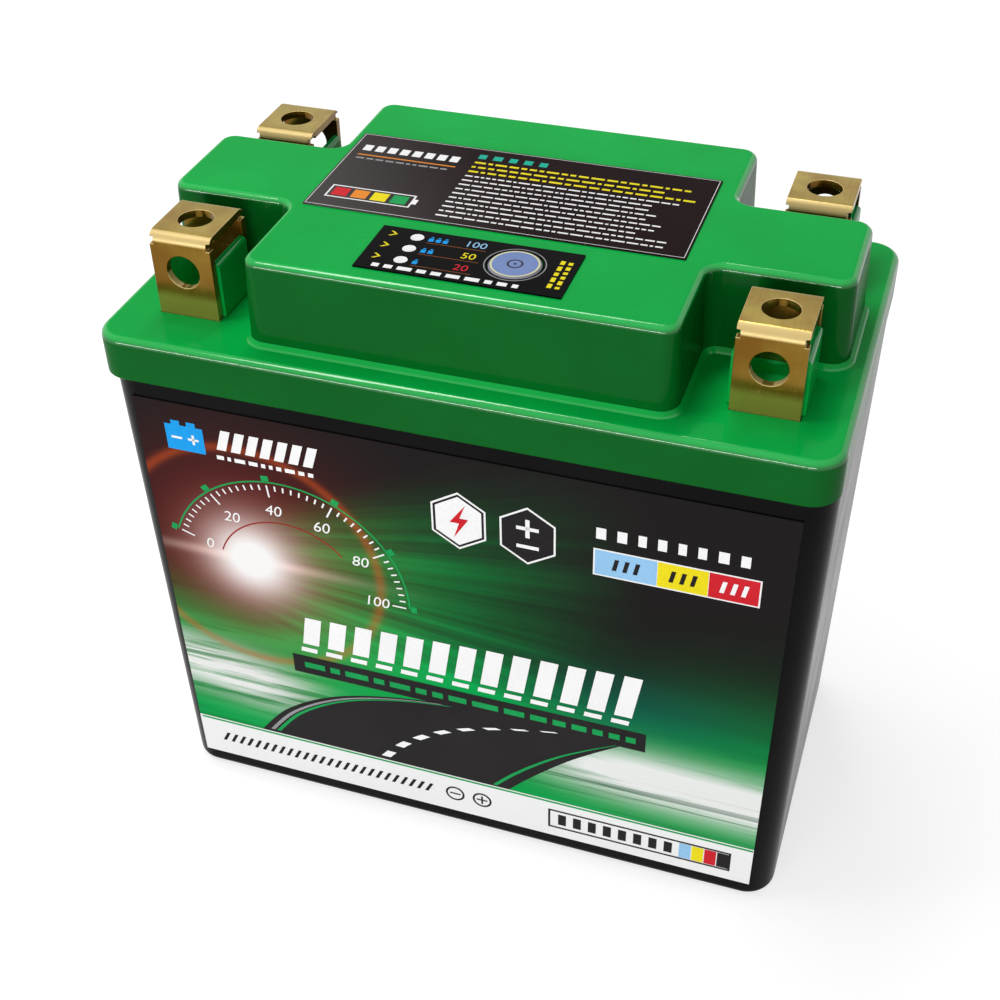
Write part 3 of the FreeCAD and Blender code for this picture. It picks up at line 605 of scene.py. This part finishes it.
# the flat printed shapes of one label, in its own plane, in millimetres
class Sheet:
    def __init__(self, origin, across, up):
        out = Vector(across).cross(Vector(up))
        self.matrix = Matrix((across, up, out)).transposed().to_4x4()
        self.matrix.translation = origin
        self.shape = bmesh.new()
        self.inks = []

    def face(self, points, name, layer):
        if name not in self.inks:
            self.inks.append(name)
        height = layer * layerStep * mm
        spots = [self.shape.verts.new(self.matrix @ Vector((u * mm, v * mm, height))) for u, v in points]
        self.shape.faces.new(spots).material_index = self.inks.index(name)

    def boxed(self, u0, v0, u1, v1, name, layer, slant=0.0):
        lean = slant * (v1 - v0)
        self.face([(u0, v0), (u1, v0), (u1 + lean, v1), (u0 + lean, v1)], name, layer)

    def ring(self, u, v, outer, inner, name, layer, start=0.0, sweep=360.0, parts=64):
        turns = [math.radians(start + sweep * i / parts) for i in range(parts + 1)]
        for a, b in zip(turns, turns[1:]):
            self.face([(u + r * math.cos(t), v + r * math.sin(t)) for r, t in
                       ((inner, a), (outer, a), (outer, b), (inner, b))], name, layer)

    def band(self, lower, upper, name, layer):
        for a, b, c, d in zip(lower, lower[1:], upper[1:], upper):
            self.face([a, b, c, d], name, layer)

    def outlined(self, points, width, name, layer):
        # a closed line of even width inside the corners given
        inner = []
        for i, p in enumerate(points):
            before, after = Vector(points[i - 1]), Vector(points[(i + 1) % len(points)])
            a, b = (Vector(p) - before).normalized(), (after - Vector(p)).normalized()
            lean = (Vector((-a.y, a.x)) + Vector((-b.y, b.x)))
            inner.append(Vector(p) + lean * width / (1 + a.dot(b)))
        for i in range(len(points)):
            j = (i + 1) % len(points)
            self.face([points[i], points[j], tuple(inner[j]), tuple(inner[i])], name, layer)
        return [tuple(p) for p in inner]

    def number(self, words, u, v, size, name, layer, shear=0.0, turn=0.0):
        data = bpy.data.curves.new("number", "FONT")
        data.body, data.size, data.shear = words, size * mm, shear
        data.align_x, data.align_y = "CENTER", "CENTER"
        data.resolution_u = 4
        holder = bpy.data.objects.new("number", data)
        self.stamp(bpy.data.meshes.new_from_object(holder), Matrix.Rotation(turn, 4, "Z"), u, v, name, layer)
        bpy.data.objects.remove(holder)

    def repeat(self, tree, values, u, v, name, layer, turn=0.0):
        scaled = {key: value if key in unscaled else value * mm for key, value in values.items()}
        self.stamp(grown(tree, ink[name], scaled), Matrix.Rotation(turn, 4, "Z"), u, v, name, layer)

    def words(self, u, v, name, layer, dashes, length, height, span, ragged, seed,
              lines=1, gap=1.0, turn=0.0):
        # lines of word-like dashes, each between the shortest and the longest of the span
        values = {"Rows": lines, "Dashes": dashes, "Row Gap": gap, "Length": length, "Height": height,
                  "Shortest": span[0], "Longest": span[1], "Ragged": ragged, "Seed": seed}
        self.repeat(rows.tree, values, u, v, name, layer, turn)

    def barRow(self, u, v, name, layer, count, step, width, height, growth=0.0, slant=0.0):
        values = {"Bars": count, "Step": step, "Width": width, "Height": height, "Growth": growth,
                  "Slant": slant}
        self.repeat(bars.tree, values, u, v, name, layer)

    def stamp(self, mesh, turn, u, v, name, layer):
        if name not in self.inks:
            self.inks.append(name)
        place = self.matrix @ Matrix.Translation((u * mm, v * mm, layer * layerStep * mm)) @ turn
        spots = [self.shape.verts.new(place @ vertex.co) for vertex in mesh.vertices]
        for face in mesh.polygons:
            self.shape.faces.new([spots[i] for i in face.vertices]).material_index = self.inks.index(name)
        bpy.data.meshes.remove(mesh)

    def made(self, name, slot):
        mesh = bpy.data.meshes.new(name)
        self.shape.to_mesh(mesh)
        self.shape.free()
        for item in self.inks:
            mesh.materials.append(ink[item])
        piece = added(name, mesh)
        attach(piece, "battery")


def curved(points, steps=14):
    # a smooth open line through the points given
    line = []
    for i in range(len(points) - 1):
        p0, p1 = Vector(points[max(i - 1, 0)]), Vector(points[i])
        p2, p3 = Vector(points[i + 1]), Vector(points[min(i + 2, len(points) - 1)])
        for k in range(steps):
            t = k / steps
            line.append(tuple(0.5 * (2 * p1 + (p2 - p0) * t + (2 * p0 - 5 * p1 + 4 * p2 - p3) * t * t
                                     + (3 * p1 - p0 - 3 * p2 + p3) * t ** 3)))
    return line + [tuple(points[-1])]


print("stage: repeats and inks")


# front label: soft light sweeps in the material, crisp shapes as print on it
def outerSpot(node, z):
    near = [v.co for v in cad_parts[node].data.vertices if abs(v.co.z - z) < 0.05 * mm]
    return Vector((0.0, min(spot.y for spot in near), z))


labelLow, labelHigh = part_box("front_label")
labelFoot, labelHead = outerSpot("front_label", labelLow[2]), outerSpot("front_label", labelHigh[2])
labelUp = (labelHead - labelFoot).normalized()
labelZero = labelFoot - labelUp * labelFoot.z / labelUp.z
# places and sizes in millimetres: u from the middle to the right, v up from the foot
look = {
    "side": 60.0, "fieldV": (15.0, 100.0), "bandTop": 15.4, "bandSoft": 0.06, "glowU": -42.0, "glowV": 65.0,
    "fanLead": 34.0, "fanLow": (-0.75, -0.35), "fanHigh": (0.42, 0.02), "fanFade": (38.0, -30.0),
    "fanStart": (-4.0, 14.0), "sweepV": 31.0, "sweepFall": 0.045, "sweepWide": (15.0, 12.5),
    "hazeV": 40.0, "hazeWide": 17.0, "hazeU": (10.0, 60.0), "tealU": 36.0, "tealV": 46.0,
    "tealWide": (20.0, 9.0), "rightV": 28.5, "rightFrom": (4.0, 40.0), "leftV": 33.0,
    "leftFrom": (-22.0, -52.0), "whiteWide": 6.0, "lineV": 23.0, "lineWide": 4.0,
    "lineFrom": (-20.0, 30.0), "haloWide": 21.0, "ringRadius": 27.0, "ringWide": 1.0,
    "flareWide": (17.0, 1.2), "warmWide": 9.5, "coreWide": 6.3,
}
lookColours = {
    "field": (colour(0.008, 0.007, 0.0075), colour(0.016, 0.0135, 0.014)),
    "green": (colour(0.002, 0.30, 0.058), colour(0.004, 0.40, 0.085)), "teal": colour(0.004, 0.09, 0.12),
    "white": colour(0.86, 0.88, 0.86), "line": colour(0.001, 0.10, 0.028), "halo": colour(0.30, 0.022, 0.016),
    "ring": colour(0.55, 0.085, 0.02), "warm": colour(0.93, 0.62, 0.55), "core": colour(0.95, 0.94, 0.93),
    "band": (colour(0.91, 0.91, 0.91), colour(0.94, 0.94, 0.94)),
}
bellBase = 2.718


def bell(s, distance, width):
    share = s.math("DIVIDE", distance, width)
    return s.math("POWER", bellBase, s.times(s.times(share, share), -1.0))


def greenLight(s, u, v, fromGlow, cloud, fineStreak):
    # beams fanning out from the glow, the sweep low across the label and a haze at the right
    du, dv = fromGlow
    slope = s.math("ARCTAN2", dv, s.add(du, look["fanLead"]))
    fan = s.ramp(s.add(s.noise(vectorOf(s, slope), 14.0, 4.0, 0.6), s.times(cloud, 0.25)), 0.42, 0.78)
    beamSide = s.times(s.ramp(slope, *look["fanLow"]), s.ramp(slope, *look["fanHigh"]))
    beamReach = s.times(s.ramp(u, *look["fanFade"]), s.ramp(du, *look["fanStart"]))
    beams = s.times(s.times(beamSide, beamReach), s.add(0.22, s.times(fan, 0.9)))
    sweepMid = s.less(look["sweepV"], s.times(s.add(u, look["side"]), look["sweepFall"]))
    sweepWide = s.ramp(u, -look["side"], look["side"], *look["sweepWide"])
    sweep = s.times(s.low(s.times(bell(s, s.less(v, sweepMid), sweepWide), 2.2), 1.0),
                    s.ramp(fineStreak, 0.28, 0.52, 0.62, 1.0))
    haze = s.times(bell(s, s.less(v, look["hazeV"]), look["hazeWide"]),
                   s.times(s.ramp(u, *look["hazeU"]), 0.35))
    return s.low(s.add(s.add(s.times(beams, 0.9), s.times(sweep, 0.95)), haze), 1.0)


def whiteStreaks(s, u, v, fineStreak):
    # low on both sides
    rightMid = s.less(look["rightV"], s.times(s.less(u, 30.0), 0.03))
    leftMid = s.add(look["leftV"], s.times(s.add(u, look["side"]), -0.16))
    rightWhite = s.times(bell(s, s.less(v, rightMid), look["whiteWide"]),
                         s.ramp(u, *look["rightFrom"], 0.0, 1.5))
    leftWhite = s.times(bell(s, s.less(v, leftMid), look["whiteWide"]),
                        s.ramp(u, *look["leftFrom"], 0.0, 1.4))
    streaks = s.add(s.times(rightWhite, s.ramp(fineStreak, 0.28, 0.5, 0.5, 1.0)),
                    s.times(leftWhite, s.ramp(fineStreak, 0.36, 0.56, 0.15, 1.0)))
    return s.low(streaks, 1.0)


def darkLines(s, u, v, vector):
    # thin lines that run through the low sweep
    thinLine = s.noise(vector, 26.0, 2.0, 0.5, (0.3, 1.0, 40.0))
    lineMid = s.less(look["lineV"], s.times(u, 0.02))
    lowPart = s.times(bell(s, s.less(v, lineMid), look["lineWide"]), s.ramp(u, *look["lineFrom"]))
    return s.times(lowPart, s.ramp(thinLine, 0.53, 0.62, 0.0, 0.8))


def withGlow(s, artwork, fromGlow, cloud):
    # ember halo, its thin ring, a flat flare and the white core
    du, dv = fromGlow
    away = s.distance(du, dv)
    artwork = s.mix(s.times(bell(s, away, look["haloWide"]), 0.62), artwork, lookColours["halo"])
    onRing = bell(s, s.less(away, look["ringRadius"]), look["ringWide"])
    artwork = s.mix(s.times(onRing, s.add(0.15, s.times(cloud, 0.5))), artwork, lookColours["ring"])
    flareLong, flareHigh = look["flareWide"]
    flare = s.times(bell(s, dv, flareHigh), s.times(bell(s, du, flareLong), 0.55))
    warm = s.low(s.add(s.times(bell(s, away, look["warmWide"]), 0.75), flare), 1.0)
    artwork = s.mix(warm, artwork, lookColours["warm"])
    return s.mix(s.low(s.times(bell(s, away, look["coreWide"]), 1.5), 1.0), artwork, lookColours["core"])


def frontLabelFinish():
    s = material("frontLabelPaper", Specular_IOR_Level=0.02)
    vector = s.place()
    x, z = s.parts(vector)[::2]
    u, v = s.times(x, 1000.0), s.times(z, 1000.0)
    fineStreak = s.noise(vector, 26.0, 4.0, 0.6, (0.8, 1.0, 16.0))
    wideStreak = s.noise(vector, 12.0, 2.0, 0.5, (0.9, 1.0, 9.0))
    cloud = s.noise(vector, 24.0, 4.0, 0.6)
    fromGlow = s.less(u, look["glowU"]), s.less(v, look["glowV"])
    field = s.mix(s.ramp(v, *look["fieldV"]), *lookColours["field"])
    greens = s.mix(s.ramp(wideStreak, 0.35, 0.65), *lookColours["green"])
    artwork = s.mix(greenLight(s, u, v, fromGlow, cloud, fineStreak), field, greens)
    tealAcross, tealHigh = look["tealWide"]
    teal = s.times(bell(s, s.less(v, look["tealV"]), tealHigh),
                   s.times(bell(s, s.less(u, look["tealU"]), tealAcross), 0.35))
    artwork = s.mix(teal, artwork, lookColours["teal"])
    artwork = s.mix(whiteStreaks(s, u, v, fineStreak), artwork, lookColours["white"])
    artwork = s.mix(darkLines(s, u, v, vector), artwork, lookColours["line"])
    artwork = withGlow(s, artwork, fromGlow, cloud)
    band = s.ramp(v, look["bandTop"] + look["bandSoft"], look["bandTop"] - look["bandSoft"])
    paper = s.mix(s.ramp(cloud, 0.3, 0.7), *lookColours["band"])
    s.paint(s.mix(band, artwork, paper), s.ramp(cloud, 0.3, 0.7, 0.30, 0.42))
    bumped(s, s.noise(vector, 1500.0, 2.0), 0.01 * mm)
    return s.material


dress("front_label", frontLabelFinish())
front = Sheet(labelZero, Vector((1, 0, 0)), labelUp)


road = {"left": [(-46, 15.45), (-39, 24), (-28, 31), (-14, 35.2), (2, 37.3), (19, 38.4), (36, 38.6)],
        "right": [(10, 15.45), (14, 20), (18.5, 24.6), (23, 28.8), (27.5, 32.4), (32, 35.7), (36, 38.6)],
        "edges": ((0.06, "green"), (0.94, "green"), (0.035, "grey")), "edgeHalf": 0.008, "dashHalf": 0.018}


def roadPrint(p):
    # open road running to the right, with its edge lines and centre dashes
    left, right = curved(road["left"]), curved(road["right"])
    p.band(left, right, "dark", 1)

    def lane(share, half):
        # a line along the road at a share of its width, as wide as half of it to each side
        return [[(a + (c - a) * k, b + (d - b) * k) for (a, b), (c, d) in zip(left, right)]
                for k in (share - half, share + half)]

    for share, name in road["edges"]:
        near, far = lane(share, road["edgeHalf"])
        p.band(near[2:-8], far[2:-8], name, 2)
    near, far = lane(0.5, road["dashHalf"])
    for i in range(3, len(near) - 14, 8):
        p.band(near[i:i + 5], far[i:i + 5], "white", 2)


scale = {"fromGlow": (8, -4), "start": 160, "sweep": -160, "radius": 24.0, "outerRadius": 26.2,
         "greenRing": (24.9, 24.55), "emberRing": (15.2, 14.9), "emberSweep": -120, "numbers": 6,
         "numberStep": 20, "numberRadius": 17.9, "numberSize": 3.5, "numberShear": 0.15}


def dialPrint(p):
    # dial round the glow
    cu, cv = look["glowU"] + scale["fromGlow"][0], look["glowV"] + scale["fromGlow"][1]
    arc = {"Start": math.radians(scale["start"]), "Sweep": math.radians(scale["sweep"])}
    p.repeat(dial.tree, {"Ticks": 41, "Radius": scale["radius"], **arc, "Length": 1.2, "Long Every": 8,
                         "Long Length": 2.8, "Width": 0.34}, cu, cv, "white", 2)
    p.repeat(dial.tree, {"Ticks": scale["numbers"], "Radius": scale["outerRadius"], **arc, "Length": 1.0,
                         "Long Every": 1, "Long Length": 1.2, "Width": 1.5}, cu, cv, "green", 2)
    p.ring(cu, cv, *scale["greenRing"], "green", 1, scale["start"], scale["sweep"])
    p.ring(cu, cv, *scale["emberRing"], "ember", 1, scale["start"], scale["emberSweep"])
    for i in range(scale["numbers"]):
        turn = math.radians(scale["start"] + scale["sweep"] / (scale["numbers"] - 1) * i)
        across, up = [scale["numberRadius"] * wave(turn) for wave in (math.cos, math.sin)]
        p.number(str(scale["numberStep"] * i), cu + across, cv + up, scale["numberSize"], "white", 2,
                 scale["numberShear"])


def levelPrint(p):
    # level of slanted bars, their feet and the scale strip under them
    level = {"count": 13, "step": 5.4, "width": 3.5, "slant": 0.16}
    p.barRow(-31.5, 45.0, "white", 4, height=7.4, growth=0.3, **level)
    p.barRow(-32.1, 42.8, "white", 4, height=1.2, **level)
    p.boxed(-36, 36.4, 38, 41.4, "dark", 3)
    p.words(-33.5, 38.9, "green", 4, dashes=34, length=70.0, height=1.5, span=(1.6, 5.6), ragged=0.99, seed=4)


def signPrint(p):
    # battery sign, upper left: box, two poles, minus and plus, then slanted bars and dashes
    for spot in ((-56.0, 89.4, -48.2, 95.2), (-54.6, 95.2, -52.8, 96.2), (-51.4, 95.2, -49.6, 96.2)):
        p.boxed(*spot, "blue", 2)
    for spot in ((-54.9, 92.05, -52.7, 92.55), (-51.5, 92.05, -49.3, 92.55), (-50.65, 91.2, -50.15, 93.4)):
        p.boxed(*spot, "white", 3)
    p.barRow(-44.8, 91.2, "white", 2, count=7, step=2.9, width=1.9, height=4.6, slant=0.3)
    p.words(-46.0, 89.4, "white", 2, dashes=14, length=20.0, height=0.9, span=(0.7, 2.2), ragged=0.99, seed=9)


badge = {"u": (1.5, 14.5), "v": 85.6, "drop": 0.3, "halfWidth": 6.0, "halfHeight": 6.6, "inside": 0.93,
         "line": 0.45, "bolt": ((-1.7, -0.5), (0.1, -0.5), (-1.0, -4.0), (1.9, 0.7), (0.2, 0.7), (1.4, 3.9)),
         "plusMinus": ((-2.1, 1.3, 2.1, 2.1), (-0.4, -0.4, 0.4, 3.8), (-2.1, -2.9, 2.1, -2.1))}


def badgePrint(p):
    # two six-sided badges: a bolt, and plus over minus
    for k, u in enumerate(badge["u"]):
        v = badge["v"] - badge["drop"] * k
        turns = [math.radians(-90 + 60 * i) for i in range(6)]
        rim = [(u + badge["halfWidth"] * math.cos(a), v + badge["halfHeight"] * math.sin(a)) for a in turns]
        p.face(rim, "white", 2)
        within = [(u + (a - u) * badge["inside"], v + (b - v) * badge["inside"]) for a, b in rim]
        inner = p.outlined(within, badge["line"], "dark", 3)
        if k == 0:
            p.face([(u + a, v + b) for a, b in badge["bolt"]], "red", 4)
        else:
            p.face(inner, "dark", 3)
            for a, b, c, d in badge["plusMinus"]:
                p.boxed(u + a, v + b, u + c, v + d, "white", 4)


def cellPrint(p):
    # blank coloured cells with a dashed line over them, upper right
    p.words(27.0, 89.3, "white", 2, dashes=20, length=29.5, height=2.5, span=(1.4, 1.9), ragged=0.99, seed=21)
    p.boxed(26.6, 79.6, 56.4, 85.8, "white", 2)
    for name, start, wide, mark in (("paleBlue", 0, 11.2, "dark"), ("yellow", 11.3, 9.0, "dark"),
                                    ("red", 20.4, 8.8, "white")):
        u = 26.9 + start
        p.boxed(u, 79.9, u + wide, 85.5, name, 3)
        p.barRow(u + wide / 2 - 2.1, 81.4, mark, 4, count=3, step=1.9, width=0.8, height=2.6, slant=0.2)


def footPrint(p):
    # foot band: thin rule, hatch, minus and plus rings and a framed row of colour chips
    p.boxed(-60.6, 14.6, 61.0, 15.1, "green", 1)
    p.barRow(-56.0, 8.6, "dark", 2, count=26, step=1.9, width=0.75, height=2.6, slant=0.5)
    for u in (-2.0, 4.0):
        p.ring(u, 9.9, 2.1, 1.65, "dark", 2)
        p.boxed(u - 1.2, 9.7, u + 1.2, 10.1, "dark", 2)
    p.boxed(3.8, 8.7, 4.2, 11.1, "dark", 2)
    p.outlined([(18.5, 7.0), (56.8, 7.0), (56.8, 12.6), (18.5, 12.6)], 0.45, "dark", 2)
    for i, name in enumerate(("paleBlue", "yellow", "red", "dark")):
        p.boxed(46.2 + 2.6 * i, 7.6, 48.6 + 2.6 * i, 12.0, name, 2)
    p.barRow(21.5, 8.2, "dark", 2, count=8, step=3.2, width=1.7, height=3.2)


for printed in (roadPrint, dialPrint, levelPrint, signPrint, badgePrint, cellPrint, footPrint):
    printed(front)
front.made("frontLabelPrint", "front_label")
print("stage: front label")


# top label
def darkPaper(name, low, high, paintedSheen, shine):
    s = material(name, Specular_IOR_Level=shine)
    vector = s.place()
    x, y = s.parts(vector)[:2]
    cloud = s.noise(vector, 45.0, 3.0, 0.55)
    # painted sheen: the base colour turns toward pale grey towards the front left of the label
    sheenRamp = s.ramp(s.add(s.times(x, -1000.0), s.times(y, -600.0)), -5.0, 48.0, 0.0, paintedSheen)
    base = s.mix(s.ramp(cloud, 0.3, 0.7), colour(*low), colour(*high))
    s.paint(s.mix(sheenRamp, base, colour(0.16, 0.15, 0.15)), s.ramp(cloud, 0.3, 0.7, 0.28, 0.4))
    bumped(s, s.noise(vector, 1500.0, 2.0), 0.01 * mm)
    return s.material


papers = {
    "top_label": {"name": "topLabelPaper", "low": (0.012, 0.0055, 0.0060), "high": (0.017, 0.008, 0.0085),
                  "paintedSheen": 0.45, "shine": 0.012},
    "indicator_overlay": {"name": "overlayFilm", "low": (0.0012, 0.0012, 0.0014),
                          "high": (0.003, 0.003, 0.0033), "paintedSheen": 0.0, "shine": 0.02},
}
for node, values in papers.items():
    dress(node, darkPaper(**values))
roofLow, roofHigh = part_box("top_label")
panel = Sheet(Vector((0, 0, roofHigh[2])), Vector((1, 0, 0)), Vector((0, 1, 0)))


def topPrint(p):
    left, right = roofLow[0] / mm, roofHigh[0] / mm
    near, far = roofLow[1] / mm, roofHigh[1] / mm
    inset, line = 0.3, 0.11
    p.outlined([(left + inset, near + inset), (right - inset, near + inset), (right - inset, far - inset),
                (left + inset, far - inset)], line, "white", 1)
    # left part: block rows, thin rule, battery outline with charge bars
    p.barRow(left + 3.0, far - 7.0, "white", 1, count=8, step=2.5, width=1.7, height=2.3)
    p.boxed(left + 2.0, far - 9.0, left + 21.6, far - 8.6, "orange", 1)
    p.words(left + 2.2, far - 10.2, "grey", 1, dashes=16, length=19.0, height=0.55, span=(0.5, 1.8),
            ragged=0.98, seed=3)
    corners = ((2.6, 3.6), (19.0, 3.6), (19.0, 8.2), (2.6, 8.2))
    p.outlined([(left + a, near + b) for a, b in corners], 0.32, "white", 1)
    p.boxed(left + 19.0, near + 5.0, left + 19.8, near + 6.8, "white", 1)
    for i, name in enumerate(("red", "orange", "yellow", "green")):
        p.boxed(left + 3.5 + 3.8 * i, near + 4.4, left + 6.5 + 3.8 * i, near + 7.4, name, 1)
    # right part: heading, then even rows of word-like dashes
    start = left + 24.5
    p.words(start, far - 3.4, "teal", 1, dashes=10, length=14.0, height=1.7, span=(1.2, 1.8),
            ragged=0.98, seed=5)
    p.words(start, far - 5.9, "yellow", 1, dashes=60, length=44.0, height=0.64, span=(0.7, 2.6), ragged=0.86,
            seed=12, lines=3, gap=1.85)
    p.words(start, far - 11.5, "white", 1, dashes=70, length=44.6, height=0.46, span=(0.5, 2.5), ragged=0.82,
            seed=31, lines=10, gap=1.75)


topPrint(panel)
panel.made("topLabelPrint", "top_label")
print("stage: top label")

# indicator overlay and test button
filmLow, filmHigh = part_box("indicator_overlay")
film = Sheet(Vector((0, 0, filmHigh[2])), Vector((1, 0, 0)), Vector((0, 1, 0)))
gauge = {"lampY": (-15.8, -19.8, -23.8), "buttonX": 7.5, "buttonY": -20.0, "ring": (5.35, 5.15)}
levels = (("paleBlue", "100"), ("yellow", "50"), ("red", "20"))
arrow = ((2.0, 0.8), (2.5, 0.8), (3.5, 0.0), (2.5, -0.8), (2.0, -0.8), (3.0, 0.0))


def filmPrint(p):
    left, right = filmLow[0] / mm, filmHigh[0] / mm
    near = filmLow[1] / mm
    for i, (name, words) in enumerate(levels):
        y = gauge["lampY"][i]
        p.face([(left + a, y + b) for a, b in arrow], "yellow", 1)
        p.barRow(-8.9, y - 0.9, "blue", 1, count=3 - i, step=1.3, width=0.9, height=1.0)
        p.barRow(-8.9, y + 0.3, "blue", 1, count=3 - i, step=1.3, width=0.5, height=0.35)
        p.number(words, -0.9, y + 0.1, 2.7, name, 1)
        p.boxed(-9.4, y - 1.52, 1.4, y - 1.41, "rust", 1)
    p.words(left + 3.0, near + 1.3, "white", 1, dashes=20, length=27.5, height=1.1, span=(0.9, 2.6),
            ragged=0.98, seed=8)
    for k in range(2):
        p.words(right - 2.9 + 1.4 * k, near + 2.4, "yellow", 1, dashes=12, length=9.2, height=0.8,
                span=(0.6, 1.5), ragged=0.98, seed=14 + k, turn=math.radians(90))
    p.ring(gauge["buttonX"], gauge["buttonY"], *gauge["ring"], "grey", 1)


filmPrint(film)
film.made("overlayPrint", "overlay_film")


cap = {"low": (0.155, 0.235, 0.50), "high": (0.185, 0.27, 0.55), "side": (0.26, 0.26, 0.30), "sideFrom": 4.18,
       "rim": (0.78, 0.76, 0.42), "rimRadius": 4.1, "rimHalf": 0.14, "mark": (0.02, 0.022, 0.05),
       "markRadius": 1.25, "markHalf": 0.2, "dotRadius": 0.32}


def buttonFinish():
    # violet-blue cap with a pale rim line and a small ring in the middle
    s = material("buttonCap", Specular_IOR_Level=0.12, Coat_Weight=0.08, Coat_Roughness=0.12)
    vector = s.place()
    x, y = s.parts(vector)[:2]
    dx, dy = s.less(x, gauge["buttonX"] * mm), s.less(y, gauge["buttonY"] * mm)
    away = s.times(s.distance(dx, dy), 1000.0)
    cloud = s.noise(vector, 160.0, 3.0)
    face = s.mix(s.ramp(cloud, 0.3, 0.7), colour(*cap["low"]), colour(*cap["high"]))

    def hoop(radius, half):
        return s.below(s.size(s.less(away, radius)), half)

    marked = s.mix(s.above(away, cap["sideFrom"]), face, colour(*cap["side"]))
    marked = s.mix(hoop(cap["rimRadius"], cap["rimHalf"]), marked, colour(*cap["rim"]))
    target = s.top(hoop(cap["markRadius"], cap["markHalf"]), hoop(0.0, cap["dotRadius"]))
    s.paint(s.mix(target, marked, colour(*cap["mark"])), s.ramp(cloud, 0.3, 0.7, 0.26, 0.38))
    bumped(s, s.noise(vector, 1200.0, 2.0), 0.015 * mm)
    return s.material


dress("test_button", buttonFinish())
print("stage: indicator")

# floor, backdrop, light and camera
studio = {"floorSize": 8.0, "floorColour": 0.50, "floorLift": 0.68, "floorFarLift": 0.84, "liftFrom": 0.25,
          "liftTo": 0.9, "skyToObject": 0.30}


def seenRays(s):
    # what the camera, metal and glass see of the backdrop is white, whatever light reaches the object
    path = s.put("ShaderNodeLightPath").outputs
    return s.top(path["Is Camera Ray"], s.top(path["Is Glossy Ray"], path["Is Transmission Ray"]))


def studioFloor():
    s = material("studioFloor", Roughness=0.9)
    s.shader.inputs["Emission Color"].default_value = colour(1, 1, 1)
    s.shader.inputs["Base Color"].default_value = colour(*[studio["floorColour"]] * 3)
    x, y = s.parts(s.place())[:2]
    away = s.distance(x, y)
    lift = s.ramp(away, studio["liftFrom"], studio["liftTo"], studio["floorLift"], studio["floorFarLift"])
    s.feed(s.shader.inputs["Emission Strength"], s.times(seenRays(s), lift))
    return s.material


bpy.ops.mesh.primitive_plane_add(size=studio["floorSize"])
floor = bpy.context.object
floor.name = "studioFloor"
floor.data.materials.append(studioFloor())

world = bpy.data.worlds.new("studioSky")
bpy.context.scene.world = world
world.use_nodes = True
sky = Sums(world.node_tree)
back = world.node_tree.nodes["Background"]
back.inputs["Color"].default_value = colour(1, 1, 1)
sky.feed(back.inputs["Strength"], sky.top(seenRays(sky), studio["skyToObject"]))


lamps = {
    "overheadBox": {"place": (-0.17, 0.07, 0.70), "aim": (-0.02, 0, 0.1), "width": 0.66, "height": 0.09,
                    "power": 2.5},
    "frontBox": {"place": (-0.14, -0.92, 0.24), "aim": (0, 0, 0.04), "width": 1.1, "height": 0.07,
                 "power": 6.0},
}


def softbox(name, place, aim, width, height, power):
    data = bpy.data.lights.new(name, "AREA")
    data.shape = "RECTANGLE"
    data.size, data.size_y, data.energy = width, height, power
    lamp = added(name, data)
    lamp.location = place
    lamp.rotation_euler = (Vector(aim) - Vector(place)).to_track_quat("-Z", "Y").to_euler()
    lamp.visible_camera = False


for name, values in lamps.items():
    softbox(name, **values)

camera = {"place": (0.077853, -0.233186, 0.258694), "turn": 19.411, "tilt": -38.657, "roll": -1.258,
          "lens": 54.944, "sensor": 36.0, "shift": (0.00652, 0.00409), "clip": (0.01, 20.0)}
lens = bpy.data.cameras.new("studioCamera")
lens.lens, lens.sensor_width = camera["lens"], camera["sensor"]
lens.shift_x, lens.shift_y = camera["shift"]
lens.clip_start, lens.clip_end = camera["clip"]
eye = added("studioCamera", lens)
eye.matrix_world = (Matrix.Translation(camera["place"])
                    @ Matrix.Rotation(math.radians(camera["turn"]), 4, "Z")
                    @ Matrix.Rotation(math.radians(90 + camera["tilt"]), 4, "X")
                    @ Matrix.Rotation(math.radians(camera["roll"]), 4, "Z"))
bpy.context.scene.camera = eye
bpy.context.scene.view_settings.view_transform = "Standard"
print("stage: studio")
